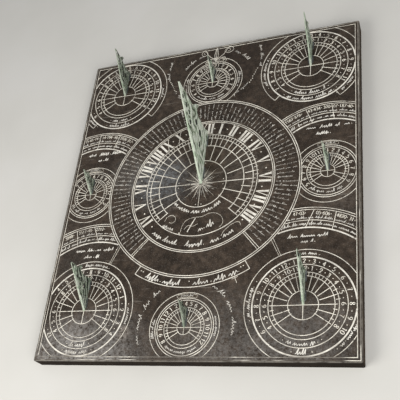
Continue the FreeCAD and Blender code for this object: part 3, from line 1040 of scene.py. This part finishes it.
def fillMaterial(name, lost):
    # old lime-white paint rubbed into the cuts: matt, chalky, dirty in places. Lost is the level
    # of the noise under which it has worn away; along the plate's edges more of it has gone.
    material, tree, shader, place = newMaterial(name)

    def compute(operation, first, second=0.0):
        return addNode(tree, "ShaderNodeMath", {0: first, 1: second}, operation=operation).outputs[0]

    def noiseAt(scale, detail, roughness):
        links = {"Vector": place, "Scale": scale, "Detail": detail, "Roughness": roughness}
        return addNode(tree, "ShaderNodeTexNoise", links).outputs[0]

    def between(factor, first, last, most=1.0):
        return addNode(tree, "ShaderNodeMapRange", {0: factor, 1: first, 2: last, 4: most}).outputs[0]

    colour = ramp(tree, noiseAt(60.0, 5.0, 0.65), fillLook["body"])
    parts = addNode(tree, "ShaderNodeSeparateXYZ", {0: place}).outputs
    toSouth = compute("ADD", parts[1], plate["length"] / 2 * mm)
    toEdge = compute("MINIMUM", compute("SUBTRACT", plate["width"] / 2 * mm, compute("ABSOLUTE", parts[0])),
                     compute("SUBTRACT", plate["length"] / 2 * mm, compute("ABSOLUTE", parts[1])))
    southBand = between(toSouth, *(edge * mm for edge in fillLook["southBand"]))
    outerLine = between(toEdge, *(edge * mm for edge in fillLook["outerLine"]), 0.75)
    gone = between(noiseAt(13.0, 3.0, 0.5), 0.40, 0.49)
    along = compute("MULTIPLY", compute("MAXIMUM", southBand, outerLine), gone)
    flaked = between(noiseAt(170.0, 4.0, 0.7), lost + 0.04, lost - 0.04, 0.8)
    colour = mixColours(tree, compute("MAXIMUM", along, flaked), colour, hexColour(fillLook["bare"]))
    tree.links.new(colour, shader.inputs["Base Color"])
    shader.inputs["Roughness"].default_value = 0.85
    return material


bronzeLook = {
    "pale": [(0.30, "#a6b8a0"), (0.42, "#cfdfc8"), (0.52, "#f4faec"), (0.8, "#dae8d2")],
    "dull": [(0.30, "#474a3e"), (0.50, "#656d5c"), (0.70, "#8a9583")],
    "hollowsAndPaintedShade": [(0.0, "#151814"), (0.07, "#989f90"), (0.35, "#cfd3ca"), (0.65, "#ffffff")],
    "metal": "#5b5345",
}


def bronzeMaterial():
    # cast bronze left out of doors: a chalky grey-green verdigris over brown metal. The skin is matt and pale
    # where it stands proud, and darker in the hollows of the pattern; round the piercings it is painted near
    # black, as painted shade inside the holes, and along the style edge it is paler, partly as a painted
    # highlight.
    material, tree, shader, place = newMaterial("verdigrisCastBronze")
    relief = addNode(tree, "ShaderNodeAttribute", attribute_name="relief").outputs["Fac"]
    blotch = addNode(tree, "ShaderNodeTexNoise", {"Vector": place, "Scale": 70.0, "Detail": 6.0,
                                                  "Roughness": 0.7}).outputs[0]
    pits = addNode(tree, "ShaderNodeTexNoise", {"Vector": place, "Scale": 600.0, "Detail": 3.0}).outputs[0]
    bloom = addNode(tree, "ShaderNodeAttribute", attribute_name="bloom").outputs["Fac"]
    dull = ramp(tree, blotch, bronzeLook["dull"])
    green = mixColours(tree, bloom, dull, ramp(tree, blotch, bronzeLook["pale"]))
    shaded = mixColours(tree, 0.96, green, ramp(tree, relief, bronzeLook["hollowsAndPaintedShade"]), "MULTIPLY")
    bare = addNode(tree, "ShaderNodeMapRange", {0: blotch, 1: 0.36, 2: 0.27, 4: 0.7}).outputs[0]
    colour = mixColours(tree, bare, shaded, hexColour(bronzeLook["metal"]))
    tree.links.new(colour, shader.inputs["Base Color"])
    shader.inputs["Metallic"].default_value = 0.15
    rough = addNode(tree, "ShaderNodeMapRange", {0: blotch, 3: 0.6, 4: 0.85})
    tree.links.new(rough.outputs[0], shader.inputs["Roughness"])
    bump = addNode(tree, "ShaderNodeBump", {"Height": pits, "Strength": 0.5, "Distance": 0.0004})
    tree.links.new(bump.outputs[0], shader.inputs["Normal"])
    return material


def leadMaterial():
    # soft lead run in hot and dressed flat: dull blue-grey, with hammer marks and white bloom
    material, tree, shader, place = newMaterial("dressedLead")
    bloom = addNode(tree, "ShaderNodeTexNoise", {"Vector": place, "Scale": 300.0, "Detail": 4.0})
    colour = ramp(tree, bloom.outputs[0], [(0.3, "#4e5052"), (0.6, "#77797a"), (0.8, "#a2a4a2")])
    tree.links.new(colour, shader.inputs["Base Color"])
    shader.inputs["Metallic"].default_value = 0.7
    shader.inputs["Roughness"].default_value = 0.6
    dents = addNode(tree, "ShaderNodeTexVoronoi", {"Vector": place, "Scale": 450.0})
    bump = addNode(tree, "ShaderNodeBump", {"Height": dents.outputs[0], "Strength": 0.3, "Distance": 0.0004})
    tree.links.new(bump.outputs[0], shader.inputs["Normal"])
    return material


slate = slateMaterial()
whiteFill = fillMaterial("engravedWhiteFill", 0.36)
wornFill = fillMaterial("wornWhiteFill", 0.5)
bronze = bronzeMaterial()
lead = leadMaterial()


# the slate plate

def perimeter(halfWidth, halfLength, corner, step):
    # evenly spaced places round a rectangle with small round corners, each with its outward normal
    places = []
    corners = [(1, -1, -90), (1, 1, 0), (-1, 1, 90), (-1, -1, 180)]
    for index, (sx, sy, start) in enumerate(corners):
        middle = Vector((sx * (halfWidth - corner), sy * (halfLength - corner)))
        for k in range(4):
            angle = math.radians(start + 30 * k)
            normal = Vector((math.cos(angle), math.sin(angle)))
            places.append((middle + normal * corner, normal))
        nextX, nextY, _ = corners[(index + 1) % 4]
        nextMiddle = Vector((nextX * (halfWidth - corner), nextY * (halfLength - corner)))
        begin, normal = places[-1]
        run = nextMiddle + normal * corner - begin
        count = int(run.length / step)
        for k in range(1, count):
            places.append((begin + run * k / count, normal))
    return places


def edgeWear(point, seed):
    # how far the edge is worn back here: a general rubbing, and now and then a chip
    soft = noise.noise(Vector((point.x * 0.02, point.y * 0.02, seed)))
    chip = noise.noise(Vector((point.x * 0.11, point.y * 0.11, seed + 7)))
    chip = max(0.0, chip - 0.28) / 0.5
    return min(plate["arris"] * (0.75 + 0.5 * soft) + plate["chip"] * chip, border["outer"] - 0.7)


def mortiseShapes():
    shapes = []
    for name in dialNames:
        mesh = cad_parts[f"{name}_lead_caulking"].data
        low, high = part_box(f"{name}_lead_caulking")
        top = [v.co for v in mesh.vertices if v.co.z > high.z - 1e-5]
        middle = (low.y + high.y) / 2
        for part in ([c for c in top if c.y < middle], [c for c in top if c.y > middle]):
            x0, x1 = min(c.x for c in part) / mm, max(c.x for c in part) / mm
            y0, y1 = min(c.y for c in part) / mm, max(c.y for c in part) / mm
            shapes.append([Vector((x0, y0)), Vector((x1, y0)), Vector((x1, y1)), Vector((x0, y1))])
    return shapes


def buildPlate():
    places = perimeter(plate["width"] / 2, plate["length"] / 2, plate["corner"],
                       plate["perimeterStep"])
    wear = [edgeWear(point, 1) for point, _ in places]
    outline = [point - normal * back for (point, normal), back in zip(places, wear)]
    regions = [(0.0, faintCuts), (0.0, fineCuts), (-plate["engraved"], deepCuts),
               (-plate["mortise"], mortiseShapes())]
    verts, faces, previous = steppedFace(outline, regions, plate["top"])
    # rings down the side, from the worn arris to the underside
    for share in (0, *plate["sideLevels"], 1):
        ring = []
        for (point, normal), back in zip(places, wear):
            z = plate["top"] - (plate["top"] - plate["bottom"]) * share
            if share == 0:
                z = plate["top"] - back * 0.85
                inward = 0.15
            elif share < 1:
                inward = 0.25 + 0.35 * abs(noise.noise(Vector((point.x * 0.03, point.y * 0.03, z * 0.25))))
            else:
                inward = 0.9 + 0.6 * noise.noise(Vector((point.x * 0.05, point.y * 0.05, 9)))
            spot = point - normal * inward
            ring.append(len(verts))
            verts.append(Vector((spot.x, spot.y, z)))
        for i in range(len(ring)):
            j = (i + 1) % len(ring)
            faces.append(([previous[j], previous[i], ring[i], ring[j]], 0))
        previous = ring
    faces.append((previous[::-1], 0))
    # the regions' numbers against the materials: the face, faint, scratched, cut, and mortises
    return makeObject("slatePlate", verts, faces, [slate, whiteFill, wornFill],
                      {0: 0, 1: 2, 2: 1, 3: 1, 4: 0})


slatePlate = buildPlate()
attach(slatePlate, "root")
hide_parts("slate_plate")
print("slate plate:", sum(len(p.vertices) - 2 for p in slatePlate.data.polygons), "triangles")


# the gnomons: cast plates with flowing, pierced work, weathered and a little out of true

gnomons = {
    "relief": 1.2,         # depth of the flowing pattern, for the main gnomon
    "streams": 3.6,        # ridges across the widest part
    "rounding": 3.0,       # width over which the edges thin down
    # how far each one leans to the east now, in degrees
    "lean": {"main": 1.9, "north_west": 4.9, "north_east": 2.1, "south_west": 5.9, "south_east": 4.3,
             "north": 2.7, "south": 5.3, "west": 3.0, "east": -3.2},
    "wave": 0.9,           # how far the plate is bent to and fro
    "steps": {5: 1.2, 4: 0.9, 3: 0.7},  # spacing of the mesh's points, by thickness
    # loss of pale verdigris away from the style edge, which also gives a painted highlight along that edge,
    # by thickness; and how much darker the colour gets away from the style edge
    "verdigrisAndHighlightFade": {5: 0.1, 4: 0.45, 3: 0.3},
    "darkerAwayFromStyle": {5: 0.0, 4: 0.22, 3: 0.28},
    # level of the noise over which the plate is eaten through, by thickness, out of 1; how close
    # the noise's grain is along the style edge and across it; and the widths that stay sound at
    # the foot, by the style edge and by a rim
    "eaten": {5: 1.0, 4: 0.10, 3: 0.14},
    "grain": (0.10, 0.36),
    "soundFoot": 9, "soundStyle": 3, "soundRim": 1.1,
    # how much pale verdigris each one carries, from 0 to 1
    "bloom": {"main": 1.0, "north_west": 0.6, "north_east": 0.75, "south_west": 0.85, "south_east": 0.9,
              "north": 0.85, "south": 0.5, "west": 0.7, "east": 0.75},
}


def sideLoops(node):
    # the outline and the piercings of a gnomon's east side, as loops of (y, z) in millimetres
    mesh = node.data
    east = max(v.co.x for v in mesh.vertices) - 1e-5
    follow, seen = {}, set()
    for polygon in mesh.polygons:
        corners = [mesh.vertices[i].co for i in polygon.vertices]
        if min(c.x for c in corners) < east:
            continue
        keys = [(round(c.y / mm, 3), round(c.z / mm, 3)) for c in corners]
        for a, b in zip(keys, keys[1:] + keys[:1]):
            if (b, a) in seen:
                seen.discard((b, a))
            else:
                seen.add((a, b))
    for a, b in seen:
        follow[a] = b
    loops = []
    while follow:
        start, at = follow.popitem()
        loop = [Vector(start)]
        while at != start:
            loop.append(Vector(at))
            at = follow.pop(at)
        loops.append(loop)
    loops.sort(key=lambda loop: -abs(area(loop)))
    return loops


def evenLoop(loop, step):
    # the same loop with no stretch longer than the step
    points = []
    for a, b in zip(loop, loop[1:] + loop[:1]):
        count = max(1, round((b - a).length / step))
        points.extend(a.lerp(b, i / count) for i in range(count))
    return points


def distances(points, loops):
    # from each point to the nearest edge of any loop
    p = numpy.array([tuple(q) for q in points])
    best = numpy.full(len(p), 1e9)
    for loop in loops:
        a = numpy.array([tuple(q) for q in loop])
        b = numpy.roll(a, -1, axis=0)
        for start, end in zip(a, b):
            along = end - start
            share = numpy.clip(((p - start) @ along) / (along @ along), 0, 1)
            best = numpy.minimum(best, numpy.linalg.norm(p - start - share[:, None] * along, axis=1))
    return best


def openPairs(triangles):
    # the directed edges that only one triangle has
    pairs = {}
    for a, b, c in triangles:
        for p, q in ((a, b), (b, c), (c, a)):
            if (q, p) in pairs:
                del pairs[(q, p)]
            else:
                pairs[(p, q)] = True
    return list(pairs)


def withoutPinches(kept, dropped):
    # puts triangles back wherever two of the gaps between them meet at a single point
    while True:
        starts = [p for p, _ in openPairs(kept)]
        pinched = {p for p, times in collections.Counter(starts).items() if times > 1}
        back = [t for t in dropped if pinched.intersection(t)]
        if not back:
            return kept
        kept = kept + back
        dropped = [t for t in dropped if not pinched.intersection(t)]


def largestPiece(triangles):
    # the triangles that hang together by their edges, without loose crumbs
    owners = {}
    for index, (a, b, c) in enumerate(triangles):
        for pair in ((a, b), (b, c), (c, a)):
            owners.setdefault(frozenset(pair), []).append(index)
    best, seen = [], set()
    for start in range(len(triangles)):
        piece, queue = [], [start]
        while queue:
            index = queue.pop()
            if index in seen:
                continue
            seen.add(index)
            piece.append(index)
            a, b, c = triangles[index]
            for pair in ((a, b), (b, c), (c, a)):
                queue.extend(owners[frozenset(pair)])
        best = max(best, piece, key=len)
    return [triangles[index] for index in sorted(best)]


def buildGnomon(name, seed):
    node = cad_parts[f"{name}_gnomon"]
    low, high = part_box(f"{name}_gnomon")
    gauge = (high.x - low.x) / mm
    thickness = round(gauge)
    middle = (high.x + low.x) / 2 / mm
    toe, face, tip = low.y / mm, plate["top"], high.z / mm
    step = gnomons["steps"][thickness]
    outline, *pierced = sideLoops(node)
    outline = evenLoop(outline, step)
    holes, rings = [], []
    for loop in pierced:
        centre = sum(loop, Vector((0, 0))) / len(loop)
        radius = (loop[0] - centre).length
        holes.append([polar(centre, radius, -360 * k / 20) for k in range(20)])
        rings.append((centre, radius))
    grid = []
    rows = int((high.z - low.z) / mm / step / 0.866) + 2
    columns = int((high.y - low.y) / mm / step) + 2
    for row in range(rows):
        for column in range(columns):
            across = (column + 0.5 * (row % 2)) * step
            grid.append(Vector((toe + across, low.z / mm + row * step * 0.866)))
    clear = distances(grid, [outline, *holes])
    grid = [point for point, gap in zip(grid, clear) if gap > step * 0.6]
    points, faces = [], []
    for loop in (outline, *holes):
        loop = loop if area(loop) > 0 else loop[::-1]
        faces.append(list(range(len(points), len(points) + len(loop))))
        points.extend(loop)
    points.extend(grid)
    flat, _, triangles, _, _, sources = delaunay_2d_cdt(points, [], faces, 1, 1e-4, True)
    triangles = [t for t, source in zip(triangles, sources) if source == [0]]
    edgeGap = distances(flat, [outline])
    holeGap = distances(flat, holes)
    style = Vector((math.cos(math.radians(latitude)), math.sin(math.radians(latitude))))
    size = gauge / 5
    # gaps that the verdigris has eaten, drawn out along the style edge
    fine, coarse = gnomons["grain"][1] / size, gnomons["grain"][0] / size
    kept, dropped = [], []
    for triangle in triangles:
        local = sum((flat[i] for i in triangle), Vector((0, 0))) / 3 - Vector((toe, face))
        across = abs(local.cross(style))
        rot = noise.noise(Vector((local.dot(style) * coarse, across * fine, seed * 5.3)))
        sound = (min(min(edgeGap[i], holeGap[i]) for i in triangle) < gnomons["soundRim"] * size
                 or local.y < gnomons["soundFoot"] * size or across < gnomons["soundStyle"] * size
                 or rot < gnomons["eaten"][thickness])
        (kept if sound else dropped).append(triangle)
    triangles = largestPiece(withoutPinches(kept, dropped))
    used = sorted({i for triangle in triangles for i in triangle})
    renumber = {old: new for new, old in enumerate(used)}
    triangles = [[renumber[i] for i in triangle] for triangle in triangles]
    flat = [flat[i] for i in used]
    edgeGap, holeGap = edgeGap[used], holeGap[used]

    def pattern(point):
        # ridges that run with the style edge, bend with the noise and part round each piercing
        local = point - Vector((toe, face))
        across = local.cross(style)
        reach = max(local.dot(style), 1)
        share = across / (0.36 * reach + 6 * size)
        bend = noise.noise(Vector((point.x * 0.05 / size, point.y * 0.05 / size, seed * 3.1)))
        level = 0.5 + 0.5 * math.cos(2 * math.pi * (share * gnomons["streams"] / 2 + 1.1 * bend))
        for centre, radius in rings:
            gap = ((point - centre).length - radius) / size
            level = max(level * min(1, max(0, (gap - 1.5) / 3)), math.exp(-((gap - 2.6) / 1.0) ** 2))
        rough = noise.noise(Vector((point.x * 0.4 / size, point.y * 0.4 / size, seed)))
        return min(1, max(0, level + 0.25 * rough))

    verts, halves, reliefAndPaintedShade, blooms = [], [], [], []
    for point, gap, near in zip(flat, edgeGap, holeGap):
        level = pattern(point)
        above = min(1, max(0, (point.y - face) / 3))
        rim = min(1, gap / (gnomons["rounding"] * size))
        taper = min(1, 0.3 + 0.7 * (tip - point.y) / (0.75 * (tip - face)))
        crown = taper * (0.5 + 0.5 * math.sqrt(rim * (2 - rim)))
        # a plain raised border keeps the edges strong
        level = max(level, 1 - gap / (2.2 * size))
        depth = gnomons["relief"] * size * (1 - level) * above
        worn = 1 if near > 2 * size or not above else 0.6 + 0.2 * near / size
        halves.append((gauge / 2 * (crown if above else 1) - depth * min(1, rim)) * worn)
        # painted shade: the walls and rims of the piercings are painted near black, as shade inside the holes
        shade = min(1, max(0, near / size - 0.5) / 2.5)
        away = min(1, abs((point - Vector((toe, face))).cross(style)) / (11 * size))
        level = 0.42 if gap < 0.3 or not above else level
        # darker away from the style edge
        level = level - gnomons["darkerAwayFromStyle"][thickness] * away
        reliefAndPaintedShade.append(level * shade - 0.6 * (1 - shade))
        # paler towards the style edge: pale verdigris there, and a painted highlight along the edge
        blooms.append(gnomons["bloom"][name] * (1 - gnomons["verdigrisAndHighlightFade"][thickness] * away))
    lean = math.tan(math.radians(gnomons["lean"][name]))
    count = len(flat)
    for side in (1, -1):
        for index, point in enumerate(flat):
            up = max(0, point.y - face)
            bend = noise.noise(Vector((point.x * 0.02, up * 0.022, seed + 11))) * gnomons["wave"]
            bend = bend * min(1, up / 25) + up * lean
            verts.append(Vector((middle + side * halves[index] + bend, point.x, point.y)))
    out = []
    for a, b, c in triangles:
        out.append(([a, b, c], 0))
        out.append(([c + count, b + count, a + count], 0))
    for p, q in openPairs(triangles):
        out.append(([q, p, p + count, q + count], 0))
    obj = makeObject(f"{name}GnomonCasting", verts, out, [bronze], {0: 0})
    for layerName, values in (("relief", reliefAndPaintedShade), ("bloom", blooms)):
        layer = obj.data.attributes.new(layerName, "FLOAT", "POINT")
        layer.data.foreach_set("value", values + values)
    for polygon in obj.data.polygons:
        polygon.use_smooth = True
    obj.data.set_sharp_from_angle(angle=math.radians(55))
    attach(obj, "root")
    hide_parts(f"{name}_gnomon")
    return len(out)


print("gnomons:", sum(buildGnomon(name, 50 + i) for i, name in enumerate(dialNames)), "faces")
for name in dialNames:
    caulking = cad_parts[f"{name}_lead_caulking"]
    caulking.data.materials.clear()
    caulking.data.materials.append(lead)
    for polygon in caulking.data.polygons:
        polygon.material_index = 0


# floor, light and camera

def addStage():
    mesh = bpy.data.meshes.new("floor")
    half = 4.0
    corners = [(-half, -half, 0), (half, -half, 0), (half, half, 0), (-half, half, 0)]
    mesh.from_pydata(corners, [], [(0, 1, 2, 3)])
    floor = bpy.data.objects.new("floor", mesh)
    bpy.context.scene.collection.objects.link(floor)
    material, tree, shader, place = newMaterial("paleWall")
    # painted plaster: almost even, with faint broad clouding and a fine tooth
    broad = addNode(tree, "ShaderNodeTexNoise", {"Vector": place, "Scale": 5.0, "Detail": 4.0}).outputs[0]
    tooth = addNode(tree, "ShaderNodeTexNoise", {"Vector": place, "Scale": 220.0, "Detail": 3.0}).outputs[0]
    colour = ramp(tree, broad, [(0.35, "#d9d7d1"), (0.5, "#dcdad4"), (0.65, "#dfddd8")])
    tree.links.new(colour, shader.inputs["Base Color"])
    bump = addNode(tree, "ShaderNodeBump", {"Height": tooth, "Strength": 0.15, "Distance": 0.0004})
    tree.links.new(bump.outputs[0], shader.inputs["Normal"])
    shader.inputs["Roughness"].default_value = 0.9
    mesh.materials.append(material)


lights = {
    "key": {"place": (-0.86, -1.0, 1.12), "aim": (-0.06, -0.3, 0), "size": 1.0, "power": 15,
            "colour": "#fffdf9"},
    "fill": {"place": (1.4, -1.5, 1.9), "aim": (0.1, -0.1, 0), "size": 1.8, "power": 51,
             "colour": "#fbfaf8"},
}


def addLight(name, place, aim, size, power, colour):
    light = bpy.data.lights.new(name, "AREA")
    light.size = size
    light.energy = power
    light.color = hexColour(colour)[:3]
    obj = bpy.data.objects.new(name, light)
    obj.location = place
    obj.rotation_euler = (Vector(aim) - Vector(place)).to_track_quat("-Z", "Y").to_euler()
    bpy.context.scene.collection.objects.link(obj)


camera = {
    "eye": (0.3807, -0.5655, 0.9062),
    "aim": (-0.0318, -0.0692, 0.025),
    "up": (0.0743, 0.8834, 0.4627),
    "lens": 59.45,
    "shiftX": 0.05,
    "shiftY": 0.0552,
}


def addCamera():
    data = bpy.data.cameras.new("camera")
    data.sensor_width = 36
    data.lens = camera["lens"]
    data.shift_x = camera["shiftX"]
    data.shift_y = camera["shiftY"]
    obj = bpy.data.objects.new("camera", data)
    eye, aim = Vector(camera["eye"]), Vector(camera["aim"])
    back = (eye - aim).normalized()
    right = Vector(camera["up"]).cross(back).normalized()
    up = back.cross(right)
    turn = Matrix((right, up, back)).transposed().to_4x4()
    obj.matrix_world = Matrix.Translation(eye) @ turn
    bpy.context.scene.collection.objects.link(obj)
    bpy.context.scene.camera = obj


def addWorld():
    world = bpy.data.worlds.new("studio")
    world.use_nodes = True
    background = world.node_tree.nodes["Background"]
    background.inputs["Color"].default_value = hexColour("#e8eaee")
    background.inputs["Strength"].default_value = 0.33
    bpy.context.scene.world = world


addStage()
for name, settings in lights.items():
    addLight(name, **settings)
addWorld()
addCamera()
bpy.context.scene.view_settings.view_transform = "Standard"
